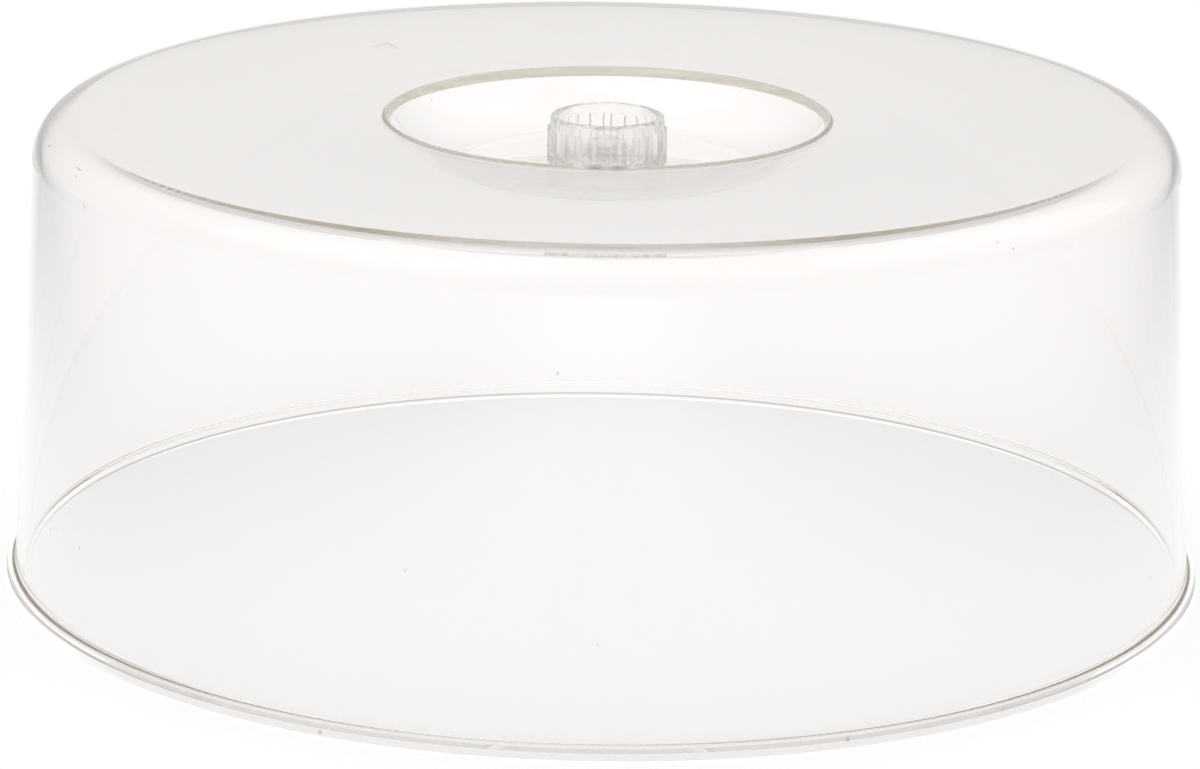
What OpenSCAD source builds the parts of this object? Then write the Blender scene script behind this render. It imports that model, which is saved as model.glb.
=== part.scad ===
// Clear vented humidity dome: a one-piece round cover with a crowned top,
// a dished finger well and a fluted vent knob that turns on a shouldered screw.
// Millimetres. The foot of the dome is at z = 0 and the knob's axis is Z.

/* [Dome] */
// Outer radius of the foot, where the dome stands
foot_r = 152.5; // [140:0.5:170]
// Height of the top's crest above the foot
dome_h = 118.1; // [105:0.1:130]
// Thickness of the side wall and the top
wall_t = 2.5; // [2:0.1:3]
// Lean of the side wall from upright, in degrees
wall_draft = 3.2; // [2.5:0.1:5]
// Outer radius of the shoulder between the wall and the top
shoulder_r = 10.5; // [8:0.5:14]
// Inside and outside blend where the wall meets the foot flange
foot_blend_r = 1.2; // [0.8:0.1:1.6]

/* [Foot] */
// Height of the skirt below the flange
skirt_h = 4; // [3.6:0.1:5]
// Width of the flat step outside the wall
flange_w = 1.9; // [1.7:0.1:2.4]
// How far the skirt flares out below the flange
skirt_flare = 1.1; // [0.6:0.1:1.5]
// Thickness of the skirt at its bottom edge
skirt_t = 2.2; // [1.8:0.1:2.4]
// Depth of the rebate that drops over a tray's edge
rebate_h = 1.8; // [1.4:0.1:2]

/* [Top] */
// Radius of the circle where the top is highest
crest_r = 120; // [112:1:126]
// Rise of the top from the well's mouth to the crest
crown_rise = 1.5; // [1:0.1:2.5]
// Radius of the round bead on the well's mouth
bead_r = 0.8; // [0.7:0.05:1.2]
// How far the bead stands above the top
bead_rise = 0.6; // [0.4:0.05:0.65]

/* [Finger well] */
// Radius of the well's mouth
mouth_r = 55; // [50:0.5:58]
// Depth of the well below its mouth
well_depth = 12.3; // [11:0.1:14]
// Radius of the flat floor of the well
well_floor_r = 33; // [28:0.5:36]
// Thickness of the well's floor and bowl
well_t = 2.2; // [1.8:0.1:2.6]

/* [Vent] */
// Number of vent ports in the floor and in the knob
port_count = 4; // [3:1:4]
// Radius of each port
port_r = 2.3; // [1.8:0.1:2.4]
// Radius of the circle that the ports lie on
port_circle_r = 7.6; // [7.4:0.1:7.8]
// Turn of the knob from closed to open, in degrees
open_turn = 45; // [42:1:50]
// Radius of the round stop on the well's floor
stop_r = 0.8; // [0.6:0.05:0.9]
// Height of the stop
stop_h = 1.2; // [0.9:0.1:1.4]
// Radius of the circle that the stop lies on
stop_circle_r = 11.2; // [11:0.1:11.5]

/* [Vent knob] */
// Radius of the smooth rim of the knob
knob_r = 14.4; // [14:0.1:16]
// Thickness of the knob's cup wall
knob_wall_t = 2.2; // [1.8:0.1:2.3]
// Height of the knob
knob_h = 12.7; // [11.5:0.1:15]
// Thickness of the knob's floor
knob_floor_t = 2.6; // [2.4:0.1:3]
// Number of finger ribs round the knob
rib_count = 24; // [18:1:28]
// Radius of each finger rib
rib_r = 1.25; // [1:0.05:1.4]
// How far the ribs stand out from the cup wall
rib_proud = 0.65; // [0.4:0.05:0.8]
// Height of the smooth band above the ribs
rim_band_h = 3; // [2:0.1:4]

/* [Pivot] */
// Radius of the shoulder that the knob turns on
pivot_r = 3.2; // [3:0.05:3.5]
// Radius of the screw's shank below the shoulder
shank_r = 2.4; // [2:0.05:2.6]
// Radius of the screw's head
head_r = 4.5; // [4.2:0.1:4.8]
// Height of the screw's head
head_h = 2.4; // [2:0.1:3]
// Width of the driver slot
slot_w = 1.1; // [0.8:0.1:1.4]
// Depth of the driver slot
slot_depth = 1.1; // [0.8:0.1:1.4]
// Outer radius of both washers
washer_r = 4.9; // [4.8:0.05:5]
// Thickness of each washer
washer_t = 0.8; // [0.6:0.1:1]
// Width of the nut across its flats
nut_flats = 8; // [7.4:0.1:8.4]
// Height of the nut
nut_h = 3; // [2.4:0.1:4]

/* [Clearances] */
// Gap between the knob and the floor below it, and the washer above it
knob_end_gap = 0.2; // [0.15:0.05:0.3]
// Running clearance between the knob's bore and the screw's shoulder, on the radius
pivot_clearance = 0.06; // [0.04:0.01:0.09]
// Clearance round the shank and shoulder in the floor, nut and washers, on the radius
shank_clearance = 0.05; // [0.03:0.01:0.08]
// Clearance round the stop in its groove
stop_clearance = 0.35; // [0.3:0.05:0.45]

/* [Hidden] */

$fn = 96;
EPS = 0.01;
ARC_STEPS = 12;
SHELL_STEPS = 180;
clear_plastic = [0.90, 0.90, 0.88, 0.35];
soft_washer = [0.85, 0.85, 0.83, 0.6];

// Heights of the well
mouth_z = dome_h - crown_rise;
floor_z = mouth_z - well_depth;
floor_under_z = floor_z - well_t;

// The top's crown is one arc, highest at the crest, through the well's mouth
crown_r = (pow(crest_r - mouth_r, 2) + pow(crown_rise, 2)) / (2 * crown_rise);
crown_c = [crest_r, dome_h - crown_r];

// The bowl is one arc, tangent to the floor, up to the mouth
bowl_r = (pow(mouth_r - well_floor_r, 2) + pow(well_depth, 2)) / (2 * well_depth);
bowl_c = [well_floor_r, floor_z + bowl_r];

// The bead's round is tangent to the bowl and rises above the crown
bead_z = mouth_z + bead_rise - bead_r;
bead_c = [well_floor_r + sqrt(pow(bowl_r + bead_r, 2) - pow(bead_z - bowl_c.y, 2)), bead_z];

// The wall is a straight line, leaning in by the draft above the flange
flange_r = foot_r - skirt_flare;
wall_foot = [flange_r - flange_w, skirt_h];
wall_n = [cos(wall_draft), sin(wall_draft)];
wall_up = [-sin(wall_draft), cos(wall_draft)];

// The shoulder's arc is tangent to the wall and to the crown
shoulder_from_crown = wall_n * wall_foot - shoulder_r - wall_n * crown_c;
shoulder_c = crown_c + wall_n * shoulder_from_crown
    + wall_up * sqrt(pow(crown_r - shoulder_r, 2) - pow(shoulder_from_crown, 2));
shoulder_a = atan2(shoulder_c.y - crown_c.y, shoulder_c.x - crown_c.x);

// The knob stands on its end gap above the floor
knob_z = floor_z + knob_end_gap;
cup_r = knob_r - knob_wall_t;
knob_bore_r = pivot_r + pivot_clearance;
rib_circle_r = knob_r + rib_proud - rib_r;
rib_top_z = knob_h - rim_band_h;
rib_foot_z = 0.5;

// The screw's shoulder stands on the floor and holds the knob with its end gap
shoulder_len = knob_end_gap + knob_floor_t + knob_end_gap + washer_t;
head_z = floor_z + shoulder_len;
washer_z = head_z - washer_t;
seal_z = floor_under_z - washer_t;
nut_z = seal_z - nut_h;
shank_tip_z = nut_z - 0.6;
tip_chamfer = 0.4;
port_pitch = 360 / port_count;

// Points along an arc from angle a0 to angle a1
function arc(c, r, a0, a1, steps = ARC_STEPS) =
    [for (i = [0:steps]) let (a = a0 + (a1 - a0) * i / steps) c + r * [cos(a), sin(a)]];

// Where the circles (c0, r0) and (c1, r1) cross, on the right of the line from c0 to c1
function crossing(c0, r0, c1, r1) =
    let (gap = c1 - c0, d = norm(gap), along = (r0 * r0 - r1 * r1 + d * d) / (2 * d),
         across = sqrt(r0 * r0 - along * along))
    c0 + gap * along / d + [gap.y, -gap.x] * across / d;

// Angle of point p seen from centre c
function angle_from(c, p) = atan2(p.y - c.y, p.x - c.x);

// Point on the wall's inner face at height z
function inner_wall_at(z) =
    let (p = wall_foot - wall_n * wall_t) [p.x - (z - p.y) * tan(wall_draft), z];

// Where the bead's round runs out into the crown
function bead_out() = crossing(crown_c, crown_r, bead_c, bead_r);

// Half section of the dome: the outer skin from the axis to the foot, then the inner skin back
function dome_outer() = concat(
    [[0, floor_z]],
    arc(bowl_c, bowl_r, -90, angle_from(bowl_c, bead_c)),
    arc(bead_c, bead_r, angle_from(bead_c, bowl_c), angle_from(bead_c, bead_out())),
    arc(crown_c, crown_r, angle_from(crown_c, bead_out()), shoulder_a),
    arc(shoulder_c, shoulder_r, shoulder_a, wall_draft),
    foot_blend(),
    [[flange_r, skirt_h], [foot_r, 0]]
);

// Round inside corner between the wall's outer face and the flange
function foot_blend() =
    let (half = (90 + wall_draft) / 2, run = foot_blend_r / tan(half),
         c = wall_foot + [run, foot_blend_r])
    arc(c, foot_blend_r, 180 + wall_draft, 270, 6);

function dome_inner() =
    let (under = crossing(crown_c, crown_r - wall_t, bowl_c, bowl_r + well_t),
         rebate_r = foot_r - skirt_t)
    concat(
        [[rebate_r, 0], [rebate_r, rebate_h], inner_wall_at(rebate_h)],
        arc(shoulder_c, shoulder_r - wall_t, wall_draft, shoulder_a),
        arc(crown_c, crown_r - wall_t, shoulder_a, angle_from(crown_c, under)),
        arc(bowl_c, bowl_r + well_t, angle_from(bowl_c, under), -90),
        [[0, floor_under_z]]
    );

module ring_of(count, radius, start = 0) {
    for (i = [0:count - 1])
        rotate(start + i * 360 / count) translate([radius, 0, 0]) children();
}

module port(z0, z1) {
    translate([0, 0, z0]) cylinder(r = port_r, h = z1 - z0);
}

module dome_shell() color(clear_plastic) {
    difference() {
        union() {
            rotate_extrude($fn = SHELL_STEPS) polygon(concat(dome_outer(), dome_inner()));
            translate([stop_circle_r, 0, floor_z - EPS])
                cylinder(r = stop_r, h = stop_h + EPS);
        }
        translate([0, 0, floor_under_z - EPS])
            cylinder(r = shank_r + shank_clearance, h = well_t + 2 * EPS);
        ring_of(port_count, port_circle_r, port_pitch / 2) port(floor_under_z - EPS, floor_z + EPS);
    }
}

// Half section of the knob's cup, with a full round on its rim
module cup_section() {
    rim_round_r = knob_wall_t / 2;
    difference() {
        union() {
            square([knob_r, knob_h - rim_round_r]);
            translate([knob_r - rim_round_r, knob_h - rim_round_r]) circle(r = rim_round_r);
        }
        translate([0, knob_floor_t]) square([cup_r, knob_h]);
        translate([-EPS, -EPS]) square([knob_bore_r + EPS, knob_h]);
    }
}

// Groove under the knob that the stop runs in, with radial ends one clearance past the stop
module stop_groove() {
    half_w = stop_r + stop_clearance;
    end_a = asin(half_w / stop_circle_r);
    translate([0, 0, -EPS]) rotate(-open_turn - end_a)
        rotate_extrude(angle = open_turn + 2 * end_a)
            translate([stop_circle_r - half_w, 0])
                square([2 * half_w, stop_h + stop_clearance + EPS]);
}

module vent_knob() color(clear_plastic) translate([0, 0, knob_z]) {
    difference() {
        union() {
            rotate_extrude() cup_section();
            ring_of(rib_count, rib_circle_r)
                translate([0, 0, rib_foot_z]) cylinder(r = rib_r, h = rib_top_z - rib_foot_z);
        }
        ring_of(port_count, port_circle_r, port_pitch / 2 - open_turn) port(-EPS, knob_floor_t + EPS);
        stop_groove();
    }
}

// Half section of the screw from the tip of its shank to the top of its head
module screw_section() {
    head_edge_h = head_h / 2;
    polygon(concat(
        [[0, shank_tip_z], [shank_r - tip_chamfer, shank_tip_z], [shank_r, shank_tip_z + tip_chamfer],
         [shank_r, floor_z], [pivot_r, floor_z], [pivot_r, head_z], [head_r, head_z]],
        [for (a = [0:15:90]) [head_r - head_edge_h * (1 - cos(a)), head_z + head_edge_h * (1 + sin(a))]],
        [[0, head_z + head_h]]
    ));
}

module pivot_screw() color(clear_plastic) {
    difference() {
        rotate_extrude() screw_section();
        translate([-head_r, -slot_w / 2, head_z + head_h - slot_depth])
            cube([2 * head_r, slot_w, slot_depth + EPS]);
    }
}

module washer(z, bore_r) {
    translate([0, 0, z]) difference() {
        cylinder(r = washer_r, h = washer_t);
        translate([0, 0, -EPS]) cylinder(r = bore_r, h = washer_t + 2 * EPS);
    }
}

module head_washer() color(soft_washer) washer(washer_z, pivot_r + shank_clearance);

module seal_washer() color(soft_washer) washer(seal_z, shank_r + shank_clearance);

module hex_nut() color(clear_plastic) {
    translate([0, 0, nut_z]) difference() {
        cylinder(d = nut_flats / cos(30), h = nut_h, $fn = 6);
        translate([0, 0, -EPS]) cylinder(r = shank_r + shank_clearance, h = nut_h + 2 * EPS);
    }
}

dome_shell();
vent_knob();
pivot_screw();
head_washer();
seal_washer();
hex_nut();
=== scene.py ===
"""Looks of a clear vented humidity dome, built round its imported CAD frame.

The shell and the knob are turned and extruded again as smooth meshes, because clear
plastic shows every facet; the screw, washers and nut keep their CAD meshes and get a
finish. Everything is in metres, in the frame's own axes.
"""

import logging
import math
from dataclasses import dataclass, field
from enum import Enum
from typing import Iterable

import bmesh
import bpy
from mathutils import Matrix, Vector


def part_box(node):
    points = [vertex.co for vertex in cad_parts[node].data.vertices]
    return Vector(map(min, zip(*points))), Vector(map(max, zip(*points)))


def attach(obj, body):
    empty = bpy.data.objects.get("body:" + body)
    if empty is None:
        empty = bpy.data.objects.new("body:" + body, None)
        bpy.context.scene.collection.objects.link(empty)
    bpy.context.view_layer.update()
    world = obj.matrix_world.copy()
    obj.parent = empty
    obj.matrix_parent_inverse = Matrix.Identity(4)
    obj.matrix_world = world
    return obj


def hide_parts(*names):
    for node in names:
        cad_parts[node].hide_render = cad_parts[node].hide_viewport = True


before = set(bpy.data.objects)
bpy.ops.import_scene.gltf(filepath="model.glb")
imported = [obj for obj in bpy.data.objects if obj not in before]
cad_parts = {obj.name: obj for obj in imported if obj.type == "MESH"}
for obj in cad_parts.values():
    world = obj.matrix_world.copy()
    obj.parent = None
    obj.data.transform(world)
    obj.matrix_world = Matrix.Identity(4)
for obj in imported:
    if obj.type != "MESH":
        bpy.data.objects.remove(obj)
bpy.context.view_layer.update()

LOG = logging.getLogger("dome")
MM = 0.001
FULL_TURN = 2.0 * math.pi
SHARP_ANGLE = math.radians(32.0)
MERGE_DISTANCE = 1e-6
LIGHT_BOUNCES = 200  # light runs far along inside the clear walls before it comes out
STRAIGHT_PASSES = 64

Loop = list[bmesh.types.BMEdge]
Colour = tuple[float, float, float]


class Slot(Enum):
    """Material slots of the record; each finish is named after its own."""

    SHELL = "clear_shell"
    KNOB = "clear_knob"
    HARDWARE = "clear_hardware"
    WASHER = "soft_washer"


# ---------------------------------------------------------------------------
# Shader maths


class Field:
    """A number that varies over a surface: a socket with arithmetic operators."""

    def __init__(self, graph: "Graph", socket: bpy.types.NodeSocket) -> None:
        """Wraps one output socket.

        Args:
            graph: The graph that owns the socket.
            socket: The output socket that carries the number.
        """
        self.graph = graph
        self.socket = socket

    def _math(self, operation: str, *values: "Field | float") -> "Field":
        """Adds a Math node.

        Args:
            operation: The node's operation.
            values: Its inputs, in order.

        Returns:
            The node's result.
        """
        return self.graph.number("ShaderNodeMath", {"operation": operation}, *values)

    def __add__(self, other: "Field | float") -> "Field":
        """Sum."""
        return self._math("ADD", self, other)

    __radd__ = __add__

    def __sub__(self, other: "Field | float") -> "Field":
        """Difference."""
        return self._math("SUBTRACT", self, other)

    def __rsub__(self, other: "Field | float") -> "Field":
        """Difference, reflected."""
        return self._math("SUBTRACT", other, self)

    def __mul__(self, other: "Field | float") -> "Field":
        """Product."""
        return self._math("MULTIPLY", self, other)

    __rmul__ = __mul__

    def __pow__(self, other: "Field | float") -> "Field":
        """Power."""
        return self._math("POWER", self, other)

    def __gt__(self, other: "Field | float") -> "Field":
        """One where this number is the larger, else nought."""
        return self._math("GREATER_THAN", self, other)

    def ramp(self, low: float, high: float) -> "Field":
        """Clamps and rescales a range to 0..1.

        Args:
            low: The value that becomes 0.
            high: The value that becomes 1.

        Returns:
            The rescaled number, eased at both ends.
        """
        settings = {"interpolation_type": "SMOOTHSTEP"}
        return self.graph.number("ShaderNodeMapRange", settings, self, low, high, 0.0, 1.0)


class Graph:
    """The node tree of one material, or of the world."""

    def __init__(self, tree: bpy.types.NodeTree) -> None:
        """Empties the tree.

        Args:
            tree: The node tree to build in.
        """
        self.tree = tree
        tree.nodes.clear()

    def node(self, kind: str, settings: dict[str, object] | None = None,
             inputs: dict[str | int, object] | None = None) -> bpy.types.Node:
        """Adds any node.

        Args:
            kind: The node's type.
            settings: Properties to set first.
            inputs: Values or links by input name or number.

        Returns:
            The new node.
        """
        made = self.tree.nodes.new(kind)
        for name, value in (settings or {}).items():
            setattr(made, name, value)
        for key, value in (inputs or {}).items():
            socket = value.socket if isinstance(value, Field) else value
            if isinstance(socket, bpy.types.NodeSocket):
                self.tree.links.new(socket, made.inputs[key])
            else:
                made.inputs[key].default_value = socket
        return made

    def number(self, kind: str, settings: dict[str, object], *values: "Field | float") -> Field:
        """Adds a node that takes numbers in order and gives one number.

        Args:
            kind: The node's type.
            settings: Properties to set first.
            values: The first inputs, in order.

        Returns:
            The node's first output.
        """
        made = self.node(kind, settings, dict(enumerate(values)))
        return Field(self, made.outputs[0])

    def place(self) -> bpy.types.NodeSocket:
        """Position on the object, in metres."""
        return self.node("ShaderNodeTexCoord").outputs["Object"]

    def stretched(self, scale: tuple[float, float, float]) -> bpy.types.NodeSocket:
        """Position scaled by axis, for patterns with a direction.

        Args:
            scale: How many times larger each axis becomes.

        Returns:
            The scaled position.
        """
        mapped = self.node("ShaderNodeMapping", {}, {"Vector": self.place(), "Scale": scale})
        return mapped.outputs["Vector"]

    def noise(self, where: bpy.types.NodeSocket, scale: float, detail: float = 2.0,
              distortion: float = 0.0) -> Field:
        """Soft noise.

        Args:
            where: Position to read it at.
            scale: Cells per metre.
            detail: Octaves.
            distortion: How far the cells are pulled about.

        Returns:
            Noise from 0 to 1.
        """
        inputs = {"Vector": where, "Scale": scale, "Detail": detail, "Distortion": distortion}
        return Field(self, self.node("ShaderNodeTexNoise", {}, inputs).outputs[0])


# ---------------------------------------------------------------------------
# Finishes


def new_material(name: str) -> tuple[bpy.types.Material, Graph]:
    """Makes an empty material.

    Args:
        name: Its name.

    Returns:
        The material and its graph.
    """
    made = bpy.data.materials.new(name)
    made.use_nodes = True
    return made, Graph(made.node_tree)


@dataclass(frozen=True)
class Scratch:
    """One straight scratch, or a pit where the ends are close together.

    Attributes:
        start: One end, in millimetres.
        end: The other end, in millimetres.
        half_width: Half its width, in millimetres.
        core: Share of the half width where the mark is at its full depth.
    """

    start: tuple[float, float, float]
    end: tuple[float, float, float]
    half_width: float
    core: float = 0.4

    def field(self, graph: Graph) -> Field:
        """Where the scratch is.

        Args:
            graph: The material's graph.

        Returns:
            One on the scratch, nought away from it.
        """
        way = (Vector(self.end) - Vector(self.start)) * MM
        from_start = graph.node("ShaderNodeVectorMath", {"operation": "SUBTRACT"},
                                {0: graph.place(), 1: Vector(self.start) * MM})
        along = graph.node("ShaderNodeVectorMath", {"operation": "DOT_PRODUCT"},
                           {0: from_start.outputs[0], 1: way / way.length_squared})
        share = graph.node("ShaderNodeClamp", {}, {"Value": along.outputs["Value"]})
        nearest = graph.node("ShaderNodeVectorMath", {"operation": "SCALE"},
                             {0: way, "Scale": share.outputs[0]})
        off = graph.node("ShaderNodeVectorMath", {"operation": "DISTANCE"},
                         {0: from_start.outputs[0], 1: nearest.outputs[0]})
        edge = self.half_width * MM
        return 1.0 - Field(graph, off.outputs["Value"]).ramp(self.core * edge, edge)


def pit(x: float, y: float, z: float, radius: float) -> Scratch:
    """A pit in the surface.

    Args:
        x: Its place across, in millimetres.
        y: Its place from front to back.
        z: Its height.
        radius: Its radius.

    Returns:
        A scratch too short to see as one.
    """
    return Scratch((x, y, z), (x, y, z + 0.1 * radius), radius)


@dataclass(frozen=True)
class ClearPlastic:
    """Clear moulded plastic with handling marks.

    Attributes:
        name: Name of the material.
        tint: Colour that light takes on at the surface.
        mark_tint: Colour in the specks, scratches and pits.
        ior: Index of refraction.
        roughness: Roughness of the clean surface.
        haze: Roughness added where the surface is rubbed.
        mark_haze: Roughness added in the marks.
        rub_patches: Rubbed patches per metre.
        rub_grain: Finer grains per metre inside them.
        ripple: Height of the moulding ripple, in metres.
        ripple_waves: Its waves per metre.
        specks: Share of cells that hold a speck.
        speck_cells: Speck cells per metre.
        speck_r: Radius of a speck, as a share of its cell.
        speck_core: Radius inside which it is at full strength, likewise.
        depth_tint: Colour that light takes on along a long way through the body.
        depth: How soon it does so, per metre.
        alpha: Share of the light that meets the surface; the rest goes straight through.
        scratches: Scratches and pits in known places.
    """

    name: str
    tint: Colour
    mark_tint: Colour
    ior: float = 1.5
    roughness: float = 0.0
    haze: float = 0.03
    mark_haze: float = 0.3
    rub_patches: float = 14.0
    rub_grain: float = 160.0
    ripple: float = 0.00002
    ripple_waves: float = 22.0
    specks: float = 0.06
    speck_cells: float = 90.0
    speck_r: float = 0.045
    speck_core: float = 0.02
    depth_tint: Colour = (0.6, 0.55, 0.42)
    depth: float = 4.0
    alpha: float = 1.0
    scratches: tuple[Scratch, ...] = ()

    def material(self) -> bpy.types.Material:
        """Builds the material.

        Returns:
            The finished material.
        """
        made, graph = new_material(self.name)
        marks = self._specks(graph)
        for scratch in self.scratches:
            marks = marks + scratch.field(graph)
        marks = marks.ramp(0.0, 1.0)
        colour = graph.node("ShaderNodeMix", {"data_type": "RGBA"},
                            {"Factor": marks, 6: (*self.tint, 1.0), 7: (*self.mark_tint, 1.0)})
        bump = graph.node("ShaderNodeBump", {}, {"Height": self._ripple(graph), "Distance": self.ripple,
                                                 "Strength": 1.0})
        shader = graph.node("ShaderNodeBsdfPrincipled", {}, {
            "Base Color": colour.outputs[2],
            "Roughness": self.roughness + self._rubbed(graph) * self.haze + marks * self.mark_haze,
            "IOR": self.ior,
            "Transmission Weight": 1.0,
            "Alpha": self.alpha,
            "Normal": bump.outputs["Normal"],
        })
        body = graph.node("ShaderNodeVolumeAbsorption", {}, {"Color": (*self.depth_tint, 1.0),
                                                             "Density": self.depth})
        graph.node("ShaderNodeOutputMaterial", {}, {"Surface": shader.outputs["BSDF"],
                                                    "Volume": body.outputs["Volume"]})
        return made

    def _specks(self, graph: Graph) -> Field:
        """Scattered dust specks and pits.

        Args:
            graph: The material's graph.

        Returns:
            One inside a speck, nought elsewhere.
        """
        cells = graph.node("ShaderNodeTexVoronoi", {"feature": "F1"},
                           {"Vector": graph.place(), "Scale": self.speck_cells})
        pick = graph.node("ShaderNodeSeparateColor", {}, {"Color": cells.outputs["Color"]})
        chosen = Field(graph, pick.outputs["Red"]) > 1.0 - self.specks
        near = 1.0 - Field(graph, cells.outputs["Distance"]).ramp(self.speck_core, self.speck_r)
        return chosen * near

    def _rubbed(self, graph: Graph) -> Field:
        """Broad patches where the surface has been handled.

        Args:
            graph: The material's graph.

        Returns:
            Nought where it is clean, one where it is rubbed.
        """
        broad = graph.noise(graph.place(), self.rub_patches, detail=3.0)
        fine = graph.noise(graph.place(), self.rub_grain, detail=4.0)
        return broad.ramp(0.5, 0.75) * fine.ramp(0.35, 0.8)

    def _ripple(self, graph: Graph) -> Field:
        """Slow unevenness of a moulded surface.

        Args:
            graph: The material's graph.

        Returns:
            Height from 0 to 1.
        """
        where = graph.stretched((1.0, 1.0, 0.6))
        return graph.noise(where, self.ripple_waves, detail=1.0, distortion=0.4)


@dataclass(frozen=True)
class CloudyPlastic:
    """Soft, uncoloured plastic: light comes through, but no clear picture does.

    Attributes:
        name: Name of the material.
        colour: Colour of the body.
        clear: Share of the light that goes through instead of being scattered.
        roughness: Roughness of the surface.
        ior: Index of refraction.
        cloud: Share of the colour that is lost in the denser clouds.
        cells: Clouds per metre.
        grain: Roughness added in the densest clouds.
        alpha: Share of the light that meets the surface; the rest goes straight through.
    """

    name: str
    colour: Colour
    clear: float
    roughness: float
    ior: float
    cloud: float = 0.06
    cells: float = 900.0
    grain: float = 0.1
    alpha: float = 0.5

    def material(self) -> bpy.types.Material:
        """Builds the material.

        Returns:
            The finished material.
        """
        made, graph = new_material(self.name)
        cloud = graph.noise(graph.place(), self.cells, detail=3.0)
        darker = tuple((1.0 - self.cloud) * part for part in self.colour)
        colour = graph.node("ShaderNodeMix", {"data_type": "RGBA"},
                            {"Factor": cloud.ramp(0.3, 0.7), 6: (*self.colour, 1.0), 7: (*darker, 1.0)})
        shader = graph.node("ShaderNodeBsdfPrincipled", {}, {
            "Base Color": colour.outputs[2],
            "Roughness": self.roughness + cloud * self.grain,
            "IOR": self.ior,
            "Transmission Weight": self.clear,
            "Alpha": self.alpha,
        })
        graph.node("ShaderNodeOutputMaterial", {}, {"Surface": shader.outputs["BSDF"]})
        return made


# ---------------------------------------------------------------------------
# Turned sections


def crossing(c0: Vector, r0: float, c1: Vector, r1: float) -> Vector:
    """Where two circles cross, on the right of the line between their centres.

    Args:
        c0: Centre of the first circle.
        r0: Its radius.
        c1: Centre of the second circle.
        r1: Its radius.

    Returns:
        The crossing point.
    """
    gap = c1 - c0
    along = (r0 * r0 - r1 * r1 + gap.length_squared) / (2.0 * gap.length)
    across = math.sqrt(r0 * r0 - along * along)
    ahead = gap.normalized()
    return c0 + ahead * along + Vector((ahead.y, -ahead.x)) * across


def angle_from(centre: Vector, point: Vector) -> float:
    """Angle of a point seen from a centre, in radians."""
    return math.atan2(point.y - centre.y, point.x - centre.x)


def crowded_shares(steps: int) -> list[float]:
    """Shares of a run from 0 to 1 that lie closer together towards both ends."""
    return [(1.0 - math.cos(math.pi * step / steps)) / 2.0 for step in range(steps + 1)]


@dataclass
class Section:
    """Half section of a turned piece: x is the radius and y the height.

    Attributes:
        points: The outline's points, in order.
    """

    points: list[Vector] = field(default_factory=list)

    def to(self, *points: tuple[float, float] | Vector) -> "Section":
        """Adds straight runs.

        Args:
            points: The next points.

        Returns:
            This section.
        """
        self.points.extend(Vector(point) for point in points)
        return self

    def arc(self, centre: Vector, radius: float, start: float, end: float, steps: int,
            crowded: bool = False) -> "Section":
        """Adds an arc.

        Args:
            centre: Its centre.
            radius: Its radius.
            start: The angle it starts at, in radians.
            end: The angle it ends at, in radians.
            steps: Straight runs in it.
            crowded: Whether the runs get shorter towards both ends, beside tighter arcs.

        Returns:
            This section.
        """
        for share in crowded_shares(steps) if crowded else (step / steps for step in range(steps + 1)):
            angle = start + (end - start) * share
            self.points.append(centre + radius * Vector((math.cos(angle), math.sin(angle))))
        return self

    def straight(self, end: Vector, steps: int = 16) -> "Section":
        """Adds a straight run that keeps its own normals beside the arcs at its ends.

        Args:
            end: Where it ends.
            steps: Pieces it is cut into.

        Returns:
            This section.
        """
        start = self.points[-1].copy()
        return self.to(*(start.lerp(end, share) for share in crowded_shares(steps)))

    def spin(self, bm: bmesh.types.BMesh, segments: int) -> None:
        """Turns the outline once round the vertical axis.

        Args:
            bm: The mesh to build in.
            segments: Steps round the axis.
        """
        verts = [bm.verts.new((point.x, 0.0, point.y)) for point in self.points]
        edges = [bm.edges.new(pair) for pair in zip(verts, verts[1:])]
        bmesh.ops.spin(bm, geom=verts + edges, cent=(0, 0, 0), axis=(0, 0, 1), dvec=(0, 0, 0),
                       angle=FULL_TURN, steps=segments, use_merge=True, use_duplicate=False)
        bmesh.ops.remove_doubles(bm, verts=bm.verts, dist=MERGE_DISTANCE)


def circle(bm: bmesh.types.BMesh, radius: float, place: Vector, segments: int = 48) -> Loop:
    """Adds an open circle lying flat.

    Args:
        bm: The mesh to build in.
        radius: Its radius.
        place: Its centre.
        segments: Edges in it.

    Returns:
        Its edges.
    """
    made = bmesh.ops.create_circle(bm, cap_ends=False, radius=radius, segments=segments,
                                   matrix=Matrix.Translation(place))
    return list(dict.fromkeys(edge for vert in made["verts"] for edge in vert.link_edges))


def rim_edges(bm: bmesh.types.BMesh, radius: float, height: float) -> Loop:
    """Open edges on a level circle.

    Args:
        bm: The mesh to look in.
        radius: The circle's radius.
        height: The circle's height.

    Returns:
        The boundary edges on it.
    """
    def on_circle(vert: bmesh.types.BMVert) -> bool:
        """Whether a vertex lies on the circle."""
        return (abs(vert.co.z - height) < MERGE_DISTANCE
                and abs(vert.co.xy.length - radius) < 10.0 * MERGE_DISTANCE)

    return [edge for edge in bm.edges if edge.is_boundary and all(map(on_circle, edge.verts))]


def fill(bm: bmesh.types.BMesh, edges: Iterable[bmesh.types.BMEdge], up: bool) -> None:
    """Fills a flat outline, leaving its inner loops open.

    Args:
        bm: The mesh to build in.
        edges: The outline's edges.
        up: Whether the face looks up.
    """
    bmesh.ops.triangle_fill(bm, edges=list(edges), use_beauty=True, normal=(0, 0, 1 if up else -1))


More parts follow.
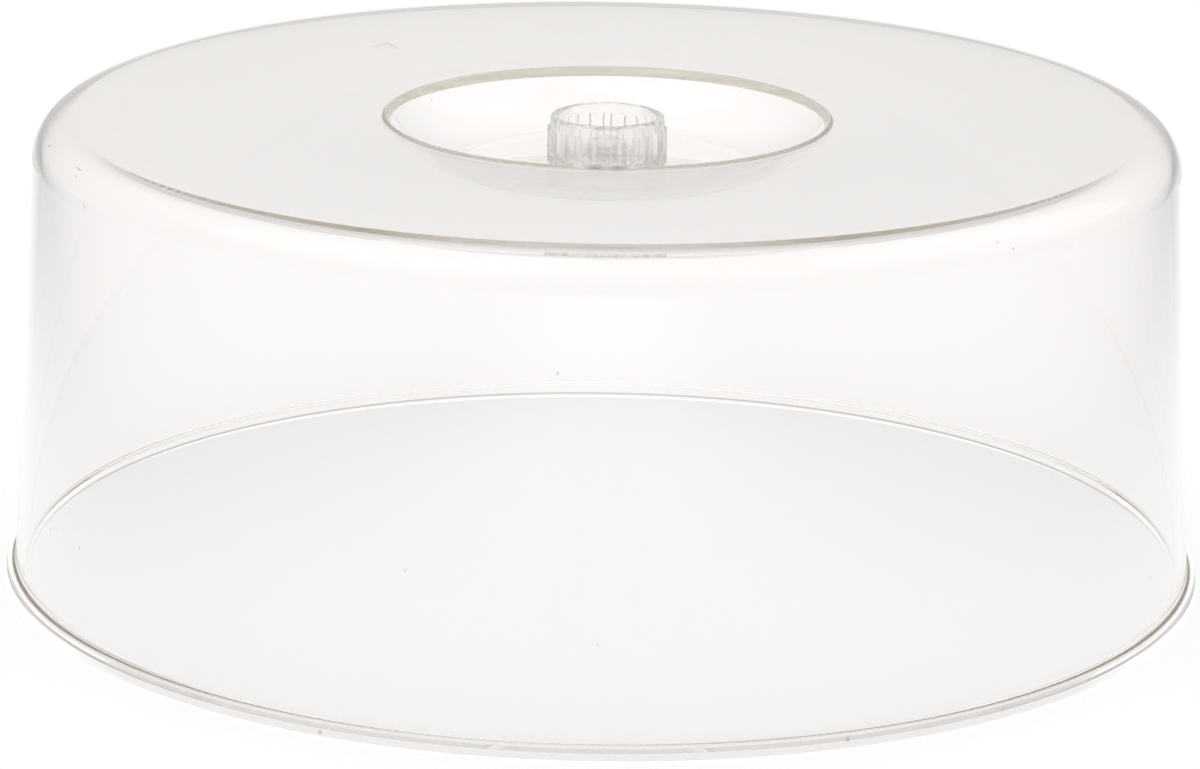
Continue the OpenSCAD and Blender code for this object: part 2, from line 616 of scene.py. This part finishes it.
def lift(bm: bmesh.types.BMesh, edges: Loop, height: float) -> None:
    """Raises a flat loop into a closed boss, or a pocket's walls and roof.

    Args:
        bm: The mesh to build in.
        edges: The loop's edges.
        height: How far it rises.
    """
    raised = bmesh.ops.extrude_edge_only(bm, edges=edges)["geom"]
    verts = [item for item in raised if isinstance(item, bmesh.types.BMVert)]
    bmesh.ops.translate(bm, verts=verts, vec=(0, 0, height))
    fill(bm, [item for item in raised if isinstance(item, bmesh.types.BMEdge)
              and all(vert in verts for vert in item.verts)], up=True)


def finished_object(bm: bmesh.types.BMesh, name: str) -> bpy.types.Object:
    """Closes a mesh, points its faces outwards and makes its object.

    Args:
        bm: The mesh, which is freed.
        name: Name of the object.

    Returns:
        The object, at the origin.
    """
    bmesh.ops.remove_doubles(bm, verts=bm.verts, dist=MERGE_DISTANCE)
    bmesh.ops.dissolve_degenerate(bm, edges=bm.edges, dist=MERGE_DISTANCE)
    bmesh.ops.recalc_face_normals(bm, faces=bm.faces)
    open_edges = sum(not edge.is_manifold for edge in bm.edges)
    mesh = bpy.data.meshes.new(name)
    bm.to_mesh(mesh)
    bm.free()
    mesh.shade_smooth()
    mesh.set_sharp_from_angle(angle=SHARP_ANGLE)
    made = bpy.data.objects.new(name, mesh)
    bpy.context.scene.collection.objects.link(made)
    LOG.info("%s: %d faces, %d open edges", name, len(mesh.polygons), open_edges)
    return made


@dataclass
class Vent:
    """Sizes that the shell and the knob share.

    Attributes:
        port_count: Ports round the pivot.
        port_r: Radius of each port.
        port_circle_r: Radius of the circle they lie on.
        open_turn: Turn from closed to open, in radians.
        stop_r: Radius of the stop on the well's floor.
        stop_h: Its height.
        stop_circle_r: Radius of the circle it lies on.
        stop_clearance: Room round the stop in its groove.
    """

    port_count: int = 4
    port_r: float = 2.3 * MM
    port_circle_r: float = 7.6 * MM
    open_turn: float = math.radians(45.0)
    stop_r: float = 0.8 * MM
    stop_h: float = 1.2 * MM
    stop_circle_r: float = 11.2 * MM
    stop_clearance: float = 0.35 * MM

    def port_places(self, height: float, turn: float = 0.0) -> list[Vector]:
        """Centres of the ports.

        Args:
            height: Height of the plate.
            turn: How far the ports are turned from the shell's, in radians.

        Returns:
            One centre for each port.
        """
        pitch = FULL_TURN / self.port_count
        angles = [pitch / 2.0 + turn + index * pitch for index in range(self.port_count)]
        return [Vector((self.port_circle_r * math.cos(a), self.port_circle_r * math.sin(a), height))
                for a in angles]

    def pierce(self, bm: bmesh.types.BMesh, low: tuple[float, float], high: tuple[float, float],
               bore_r: float, turn: float, low_extra: Iterable[Loop] = (),
               high_extra: Iterable[Loop] = ()) -> None:
        """Closes a flat floor between two levels, with its bore and ports through it.

        Args:
            bm: The mesh, open on a circle at both levels.
            low: Radius and height of the open circle at the floor's underside.
            high: The same at its top.
            bore_r: Radius of the bore in the middle.
            turn: How far the ports are turned from the shell's, in radians.
            low_extra: More loops that stay open in the underside.
            high_extra: More loops that stay open in the top.
        """
        loops: dict[float, list[Loop]] = {}
        for _, height in (low, high):
            loops[height] = [circle(bm, bore_r, Vector((0, 0, height)))]
            loops[height] += [circle(bm, self.port_r, place) for place in self.port_places(height, turn)]
        for lower, upper in zip(loops[low[1]], loops[high[1]]):
            bmesh.ops.bridge_loops(bm, edges=lower + upper)
        for (radius, height), extra, up in ((low, low_extra, False), (high, high_extra, True)):
            outline = rim_edges(bm, radius, height)
            for loop in (*loops[height], *extra):
                outline += loop
            fill(bm, outline, up)


@dataclass
class DomeShell:
    """The one-piece cover: crowned top, shoulder, wall, flange, skirt and finger well.

    Attributes:
        finish: Its plastic.
        vent: Sizes shared with the knob.
        foot_r: Outer radius of the foot.
        dome_h: Height of the crest.
        segments: Steps round the axis.
        wall_t: Thickness of the wall and the top.
        wall_draft: How far the wall leans in, in radians.
        shoulder_r: Outer radius of the shoulder.
        foot_blend_r: Radius of the inner corner between the wall and the flange.
        skirt_h: Height of the skirt.
        flange_w: Width of the flange on top of the skirt.
        skirt_flare: How much wider the skirt is at its foot.
        skirt_t: Thickness of the skirt at its foot.
        rebate_h: Depth of the rebate inside the foot.
        crest_r: Radius of the circle where the top is highest.
        crown_rise: How much higher the crest is than the well's mouth.
        bead_r: Radius of the bead round the mouth.
        bead_rise: How far the bead stands above the mouth.
        mouth_r: Radius of the mouth.
        well_depth: Depth of the well.
        well_floor_r: Radius of the well's flat floor.
        well_t: Thickness of the well.
        plate_r: Radius of the part of its floor that is filled round the bore.
        shank_hole_r: Radius of the hole for the screw.
    """

    finish: ClearPlastic
    vent: Vent
    foot_r: float
    dome_h: float
    segments: int = 288
    wall_t: float = 2.5 * MM
    wall_draft: float = math.radians(3.2)
    shoulder_r: float = 10.5 * MM
    foot_blend_r: float = 1.2 * MM
    skirt_h: float = 4.0 * MM
    flange_w: float = 1.9 * MM
    skirt_flare: float = 1.1 * MM
    skirt_t: float = 2.2 * MM
    rebate_h: float = 1.8 * MM
    crest_r: float = 120.0 * MM
    crown_rise: float = 1.5 * MM
    bead_r: float = 0.8 * MM
    bead_rise: float = 0.6 * MM
    mouth_r: float = 55.0 * MM
    well_depth: float = 12.3 * MM
    well_floor_r: float = 33.0 * MM
    well_t: float = 2.2 * MM
    plate_r: float = 20.0 * MM
    shank_hole_r: float = 2.45 * MM

    def __post_init__(self) -> None:
        """Works out the arcs that the sizes share."""
        self.mouth_z = self.dome_h - self.crown_rise
        self.floor_z = self.mouth_z - self.well_depth
        self.floor_under_z = self.floor_z - self.well_t
        self.crown_r = (((self.crest_r - self.mouth_r) ** 2 + self.crown_rise ** 2)
                        / (2.0 * self.crown_rise))
        self.crown_c = Vector((self.crest_r, self.dome_h - self.crown_r))
        self.bowl_r = (((self.mouth_r - self.well_floor_r) ** 2 + self.well_depth ** 2)
                       / (2.0 * self.well_depth))
        self.bowl_c = Vector((self.well_floor_r, self.floor_z + self.bowl_r))
        self.flange_r = self.foot_r - self.skirt_flare
        self.wall_foot = Vector((self.flange_r - self.flange_w, self.skirt_h))
        self.wall_n = Vector((math.cos(self.wall_draft), math.sin(self.wall_draft)))
        wall_up = Vector((-self.wall_n.y, self.wall_n.x))
        inset = self.wall_n.dot(self.wall_foot) - self.shoulder_r - self.wall_n.dot(self.crown_c)
        self.shoulder_c = (self.crown_c + self.wall_n * inset
                           + wall_up * math.sqrt((self.crown_r - self.shoulder_r) ** 2 - inset ** 2))
        self.shoulder_a = angle_from(self.crown_c, self.shoulder_c)

    def outer_skin(self) -> Section:
        """Outline from the well's floor, over the top and down to the foot.

        Returns:
            The section.
        """
        bead_z = self.mouth_z + self.bead_rise - self.bead_r
        bead_x = self.bowl_c.x + math.sqrt((self.bowl_r + self.bead_r) ** 2 - (bead_z - self.bowl_c.y) ** 2)
        bead_c = Vector((bead_x, bead_z))
        bead_out = crossing(self.crown_c, self.crown_r, bead_c, self.bead_r)
        run = self.foot_blend_r / math.tan((math.pi / 2.0 + self.wall_draft) / 2.0)
        blend_c = self.wall_foot + Vector((run, self.foot_blend_r))
        return (
            Section()
            .to((self.plate_r, self.floor_z))
            .arc(self.bowl_c, self.bowl_r, -math.pi / 2.0, angle_from(self.bowl_c, bead_c), steps=28)
            .arc(bead_c, self.bead_r, angle_from(bead_c, self.bowl_c),
                 angle_from(bead_c, bead_out), steps=14)
            .arc(self.crown_c, self.crown_r, angle_from(self.crown_c, bead_out), self.shoulder_a,
                 steps=18, crowded=True)
            .arc(self.shoulder_c, self.shoulder_r, self.shoulder_a, self.wall_draft, steps=36)
            .straight(blend_c - self.foot_blend_r * self.wall_n)
            .arc(blend_c, self.foot_blend_r, math.pi + self.wall_draft, 1.5 * math.pi, steps=8)
            .to((self.flange_r, self.skirt_h), (self.foot_r, 0.0))
        )

    def add_inner_skin(self, section: Section) -> Section:
        """Carries the outline back up the inside, to the underside of the well's floor.

        Args:
            section: The outer skin's outline.

        Returns:
            The whole section.
        """
        rebate_r = self.foot_r - self.skirt_t
        inner_foot = self.wall_foot - self.wall_n * self.wall_t
        ledge_r = inner_foot.x - (self.rebate_h - inner_foot.y) * math.tan(self.wall_draft)
        under = crossing(self.crown_c, self.crown_r - self.wall_t, self.bowl_c, self.bowl_r + self.well_t)
        return (
            section
            .to((rebate_r, 0.0), (rebate_r, self.rebate_h), (ledge_r, self.rebate_h))
            .straight(self.shoulder_c + (self.shoulder_r - self.wall_t) * self.wall_n)
            .arc(self.shoulder_c, self.shoulder_r - self.wall_t, self.wall_draft, self.shoulder_a,
                 steps=36)
            .arc(self.crown_c, self.crown_r - self.wall_t, self.shoulder_a,
                 angle_from(self.crown_c, under), steps=18, crowded=True)
            .arc(self.bowl_c, self.bowl_r + self.well_t, angle_from(self.bowl_c, under),
                 -math.pi / 2.0, steps=24)
            .to((self.plate_r, self.floor_under_z))
        )

    def build(self) -> bpy.types.Object:
        """Models and dresses the shell.

        Returns:
            The finished piece, riding on the dome.
        """
        bm = bmesh.new()
        self.add_inner_skin(self.outer_skin()).spin(bm, self.segments)
        vent = self.vent
        stop = circle(bm, vent.stop_r, Vector((vent.stop_circle_r, 0, self.floor_z)), segments=32)
        vent.pierce(bm, (self.plate_r, self.floor_under_z), (self.plate_r, self.floor_z),
                    self.shank_hole_r, turn=0.0, high_extra=[stop])
        lift(bm, stop, vent.stop_h)
        piece = finished_object(bm, "dome_cover")
        piece.data.materials.append(self.finish.material())
        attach(piece, "dome")
        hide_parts("dome_shell")
        return piece


@dataclass
class VentKnob:
    """The fluted open cup that turns in the well.

    Attributes:
        finish: Its plastic.
        vent: Sizes shared with the shell.
        base_z: Height of its underside.
        height: Its height.
        ribs: Finger ribs round it.
        rib_steps: Steps round each rib and the gap beside it.
        rim_r: Outer radius of the cup.
        wall_t: Thickness of its wall.
        floor_t: Thickness of its floor.
        rib_r: Radius of each rib's face.
        rib_proud: How far the ribs stand out of the cup.
        rib_foot: Height where the ribs begin.
        rim_band_h: Height of the plain band above them.
        bore_r: Radius of the bore.
    """

    finish: ClearPlastic
    vent: Vent
    base_z: float
    height: float
    ribs: int = 24
    rib_steps: int = 16
    rim_r: float = 14.4 * MM
    wall_t: float = 2.2 * MM
    floor_t: float = 2.6 * MM
    rib_r: float = 1.25 * MM
    rib_proud: float = 0.65 * MM
    rib_foot: float = 0.5 * MM
    rim_band_h: float = 3.0 * MM
    bore_r: float = 3.26 * MM

    def __post_init__(self) -> None:
        """Works out the radii and levels that the sizes share."""
        self.cup_r = self.rim_r - self.wall_t
        self.floor_z = self.base_z + self.floor_t
        self.rim_z = self.base_z + self.height
        self.rib_low = self.base_z + self.rib_foot
        self.rib_high = self.rim_z - self.rim_band_h

    def section(self) -> Section:
        """Outline from the underside, over the rim and down to the cup's floor.

        Returns:
            The section, with a point at each end of the ribs.
        """
        rim_c = Vector((self.rim_r - self.wall_t / 2.0, self.rim_z - self.wall_t / 2.0))
        return (
            Section()
            .to((self.rim_r, self.base_z), (self.rim_r, self.rib_low))
            .to((self.rim_r, self.rib_high))
            .arc(rim_c, self.wall_t / 2.0, 0.0, math.pi, steps=14)
            .to((self.cup_r, self.floor_z))
        )

    def rib_reach(self, angle: float) -> float:
        """Radius of the ribbed outline at an angle.

        Args:
            angle: Angle round the axis, in radians.

        Returns:
            The radius, never inside the cup's wall.
        """
        pitch = FULL_TURN / self.ribs
        off = (angle + pitch / 2.0) % pitch - pitch / 2.0
        centre = self.rim_r + self.rib_proud - self.rib_r
        aside = centre * math.sin(off)
        if abs(aside) >= self.rib_r:
            return self.rim_r
        return max(self.rim_r, centre * math.cos(off) + math.sqrt(self.rib_r ** 2 - aside ** 2))

    def raise_ribs(self, bm: bmesh.types.BMesh) -> None:
        """Pulls the wall out into ribs between their two levels.

        Args:
            bm: The knob's mesh, spun with whole steps to each rib.
        """
        band = [face for face in bm.faces
                if self.rib_low < face.calc_center_median().z < self.rib_high
                and face.calc_center_median().xy.length > self.rim_r - self.wall_t / 2.0]
        walls = bmesh.ops.extrude_face_region(bm, geom=band)["geom"]
        bmesh.ops.delete(bm, geom=band, context="FACES")
        for vert in (item for item in walls if isinstance(item, bmesh.types.BMVert)):
            angle = math.atan2(vert.co.y, vert.co.x)
            vert.co.xy = vert.co.xy.normalized() * self.rib_reach(angle)

    def groove(self, bm: bmesh.types.BMesh) -> Loop:
        """Outline of the groove that the stop runs in.

        Args:
            bm: The knob's mesh.

        Returns:
            The outline's edges.
        """
        vent = self.vent
        half_w = vent.stop_r + vent.stop_clearance
        end = math.asin(half_w / vent.stop_circle_r)
        steps, start = 24, -vent.open_turn - end
        angles = [start + (end - start) * step / steps for step in range(steps + 1)]
        ring = [(vent.stop_circle_r + half_w, a) for a in angles]
        ring += [(vent.stop_circle_r - half_w, a) for a in reversed(angles)]
        verts = [bm.verts.new((r * math.cos(a), r * math.sin(a), self.base_z)) for r, a in ring]
        return [bm.edges.new(pair) for pair in zip(verts, verts[1:] + verts[:1])]

    def pierce_floor(self, bm: bmesh.types.BMesh) -> None:
        """Closes the floor with its bore, ports and the stop's groove.

        Args:
            bm: The knob's mesh, open at both faces of the floor.
        """
        vent, groove = self.vent, self.groove(bm)
        vent.pierce(bm, (self.rim_r, self.base_z), (self.cup_r, self.floor_z), self.bore_r,
                    turn=-vent.open_turn, low_extra=[groove])
        lift(bm, groove, vent.stop_h + vent.stop_clearance)

    def build(self) -> bpy.types.Object:
        """Models and dresses the knob.

        Returns:
            The finished piece, riding on the knob's body.
        """
        bm = bmesh.new()
        self.section().spin(bm, self.ribs * self.rib_steps)
        self.raise_ribs(bm)
        self.pierce_floor(bm)
        piece = finished_object(bm, "knob_cup")
        piece.data.materials.append(self.finish.material())
        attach(piece, "knob")
        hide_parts("vent_knob")
        return piece


@dataclass
class Hardware:
    """The small CAD pieces of the pivot, which keep their meshes and get a finish.

    Attributes:
        finishes: Finish of each CAD node.
    """

    finishes: dict[str, ClearPlastic | CloudyPlastic]

    def dress(self) -> None:
        """Gives each node its material."""
        made: dict[str, bpy.types.Material] = {}
        for node, finish in self.finishes.items():
            if finish.name not in made:
                made[finish.name] = finish.material()
            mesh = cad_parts[node].data
            mesh.materials.clear()
            mesh.materials.append(made[finish.name])
            LOG.info("%s: dressed in %s", node, finish.name)


# ---------------------------------------------------------------------------
# Studio


@dataclass(frozen=True)
class SoftBox:
    """One square soft light that looks at the dome.

    Attributes:
        name: Name of the light.
        place: Where it hangs, in metres.
        side: Length of its side, in metres.
        power: Its power, in watts.
    """

    name: str
    place: tuple[float, float, float]
    side: float
    power: float

    def hang(self) -> None:
        """Adds the light to the scene."""
        data = bpy.data.lights.new(self.name, "AREA")
        data.size = self.side
        data.energy = self.power
        made = bpy.data.objects.new(self.name, data)
        place = Vector(self.place)
        facing = (-place).to_track_quat("-Z", "Y").to_matrix().to_4x4()
        made.matrix_world = Matrix.Translation(place) @ facing
        bpy.context.scene.collection.objects.link(made)


@dataclass
class Studio:
    """Pale floor with painted light glowing in a strip under the dome, soft light and the camera.

    Attributes:
        distance: Camera's distance in front of the axis.
        eye_height: Camera's height above the floor.
        pitch: How far the camera looks down, in radians.
        yaw: How far it is turned to its left, in radians.
        roll: How far it is tilted, in radians.
        lens: Focal length, in millimetres.
        sensor: Width of the camera's sensor, in millimetres.
        floor_r: Radius of the floor, in metres.
        fan_spread: Half width of the floor's lit fan for each metre from the camera.
        fan_edge: How far beside it the light has fallen off, in metres.
        fan_inset: How far inside it the light begins to fall off, in metres.
        fan_fall: Share of the light that falls off.
        painted_floor_glow: Light that the fan gives out.
        floor_tone: How pale the floor is, from 0 to 1.
        room_side: Light of the room at the sides and in front.
        room_back: Light of the room behind the dome.
        room_back_full: How far to the back it is full, as a part of a unit direction.
        room_narrow: Share of the back light that is lost to either side of its middle.
        room_middle: How far to the left its middle lies, as a part of a unit direction.
        room_narrow_full: Square of the distance from its middle where that share is lost.
        room_over: Light added overhead.
        room_over_low: How far up it begins, as a part of a unit direction.
        room_over_full: How far up it is full.
        room_colour: Colour of the room's light.
        boxes: The soft boxes.
    """

    distance: float = 1.2698
    eye_height: float = 0.4111
    pitch: float = math.radians(16.014)
    yaw: float = math.radians(0.042)
    roll: float = math.radians(0.815)
    lens: float = 155.73
    sensor: float = 36.0
    floor_r: float = 8.0
    fan_spread: float = 0.125
    fan_edge: float = 0.25
    fan_inset: float = 0.03
    fan_fall: float = 0.74
    painted_floor_glow: Colour = (0.727, 0.725, 0.722)
    floor_tone: float = 0.45
    room_side: float = 0.42
    room_back: float = 0.66
    room_back_full: float = 0.9
    room_narrow: float = 0.16
    room_middle: float = 0.03
    room_narrow_full: float = 0.02
    room_over: float = 0.35
    room_over_low: float = 0.35
    room_over_full: float = 0.9
    room_colour: Colour = (1.0, 0.975, 0.955)
    boxes: tuple[SoftBox, ...] = (SoftBox("key_box", (-0.7, -0.4, 1.5), 1.8, 3.0),
                                  SoftBox("fill_box", (1.3, 0.3, 1.2), 1.6, 2.0))

    def build(self) -> None:
        """Sets up the whole studio."""
        self.camera()
        self.floor()
        self.world()
        for box in self.boxes:
            box.hang()

    def camera(self) -> None:
        """Places the camera."""
        data = bpy.data.cameras.new("studio_camera")
        data.lens = self.lens
        data.sensor_width = self.sensor
        data.clip_start, data.clip_end = 0.01, 100.0
        made = bpy.data.objects.new("studio_camera", data)
        bpy.context.scene.collection.objects.link(made)
        turned = (Matrix.Rotation(self.yaw, 4, "Z")
                  @ Matrix.Rotation(math.pi / 2.0 - self.pitch, 4, "X")
                  @ Matrix.Rotation(self.roll, 4, "Z"))
        made.matrix_world = Matrix.Translation((0.0, -self.distance, self.eye_height)) @ turned
        bpy.context.scene.camera = made

    def floor(self) -> None:
        """Lays the pale floor; its surface glows in a strip under the dome, painted light that widens away
        from the camera.
        """
        bm = bmesh.new()
        bmesh.ops.create_circle(bm, cap_ends=True, radius=self.floor_r, segments=96)
        mesh = bpy.data.meshes.new("studio_floor")
        bm.to_mesh(mesh)
        bm.free()
        made = bpy.data.objects.new("studio_floor", mesh)
        bpy.context.scene.collection.objects.link(made)
        material, graph = new_material("pale_floor")
        place = graph.node("ShaderNodeSeparateXYZ", {}, {"Vector": graph.place()})
        across, along = Field(graph, place.outputs["X"]), Field(graph, place.outputs["Y"])
        # Painted light: the floor glows in a fan that widens away from the camera and fades to either side.
        beside = (across * across) ** 0.5 - (along + self.distance) * self.fan_spread
        lit = 1.0 - beside.ramp(-self.fan_inset, self.fan_edge) * self.fan_fall
        glow = graph.node("ShaderNodeMix", {"data_type": "RGBA"},
                          {"Factor": lit, 6: (0.0, 0.0, 0.0, 1.0), 7: (*self.painted_floor_glow, 1.0)})
        shader = graph.node("ShaderNodeBsdfPrincipled", {}, {
            "Base Color": (self.floor_tone, self.floor_tone, self.floor_tone, 1.0),
            "Roughness": 1.0,
            "Specular IOR Level": 0.0,
            "Emission Color": glow.outputs[2],
            "Emission Strength": 1.0,
        })
        graph.node("ShaderNodeOutputMaterial", {}, {"Surface": shader.outputs["BSDF"]})
        mesh.materials.append(material)

    def world(self) -> None:
        """Lights the room: brightest behind and overhead, greyer at the sides and in front."""
        world = bpy.data.worlds.new("studio_room")
        bpy.context.scene.world = world
        world.use_nodes = True
        graph = Graph(world.node_tree)
        way = graph.node("ShaderNodeSeparateXYZ", {},
                         {"Vector": graph.node("ShaderNodeTexCoord").outputs["Generated"]})
        aside, ahead, up = (Field(graph, way.outputs[axis]) for axis in "XYZ")
        narrowed = (aside + self.room_middle) * (aside + self.room_middle)
        light = (self.room_side
                 + (self.room_back - self.room_side) * ahead.ramp(0.0, self.room_back_full)
                 * (1.0 - narrowed.ramp(0.0, self.room_narrow_full) * self.room_narrow)
                 + self.room_over * up.ramp(self.room_over_low, self.room_over_full))
        shade = graph.node("ShaderNodeBackground", {}, {"Color": (*self.room_colour, 1.0),
                                                        "Strength": light})
        graph.node("ShaderNodeOutputWorld", {}, {"Surface": shade.outputs["Background"]})


# Marks of use on the shell, in millimetres: scratches on the left of the shoulder, a tick on the
# top behind the well, and single pits in the wall, the top, the shoulder and the foot.
HANDLING = (
    Scratch((-136.7, -32.9, 114.9), (-126.1, -60.8, 115.6), 0.25),
    Scratch((-127.3, -61.1, 114.4), (-126.4, -67.6, 112.6), 0.22),
    Scratch((-126.4, -67.6, 112.6), (-123.8, -72.7, 109.2), 0.22),
    Scratch((-62.0, 71.5, 117.9), (-58.6, 76.6, 117.9), 0.3),
    Scratch((-58.6, 76.6, 117.9), (-55.0, 70.0, 117.9), 0.3),
    pit(-134.5, -62.5, 25.8, 0.5),
    pit(-125.8, -78.5, 26.2, 0.5),
    pit(-10.4, -144.3, 90.5, 0.5),
    pit(130.9, 6.5, 118.0, 0.7),
    pit(90.4, -109.3, 113.5, 0.45),
    pit(94.3, -107.4, 111.6, 0.45),
    pit(-64.4, -137.8, 1.5, 0.8),
    pit(57.5, -140.5, 2.6, 0.8),
)


def main() -> None:
    """Builds the studio and every piece, in order."""
    logging.basicConfig(level=logging.INFO, format="%(name)s: %(message)s")
    clear = ClearPlastic(Slot.SHELL.value, tint=(0.983, 0.976, 0.974), mark_tint=(0.55, 0.52, 0.48),
                         scratches=HANDLING)
    knob_clear = ClearPlastic(Slot.KNOB.value, tint=(0.99, 0.989, 0.985), mark_tint=(0.7, 0.68, 0.64),
                              speck_cells=300.0, specks=0.02, depth=2.0, alpha=0.75)
    moulded = ClearPlastic(Slot.HARDWARE.value, tint=(0.985, 0.983, 0.975), mark_tint=(0.8, 0.79, 0.76),
                           ior=1.35, roughness=0.02, speck_cells=300.0, specks=0.02, alpha=0.35)
    silicone = CloudyPlastic(Slot.WASHER.value, (0.97, 0.97, 0.95), clear=0.85, roughness=0.3, ior=1.41)
    Studio().build()
    vent = Vent()
    _, dome_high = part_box("dome_shell")
    DomeShell(clear, vent, foot_r=dome_high.x, dome_h=dome_high.z).build()
    knob_low, knob_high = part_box("vent_knob")
    VentKnob(knob_clear, vent, base_z=knob_low.z, height=knob_high.z - knob_low.z).build()
    Hardware({"pivot_screw": moulded, "hex_nut": moulded, "head_washer": silicone,
              "seal_washer": silicone}).dress()
    bpy.context.scene.view_settings.view_transform = "Standard"
    light_paths = bpy.context.scene.cycles
    light_paths.max_bounces = LIGHT_BOUNCES
    light_paths.glossy_bounces = LIGHT_BOUNCES
    light_paths.transmission_bounces = LIGHT_BOUNCES
    light_paths.transparent_max_bounces = STRAIGHT_PASSES


if __name__ == "__main__":
    main()
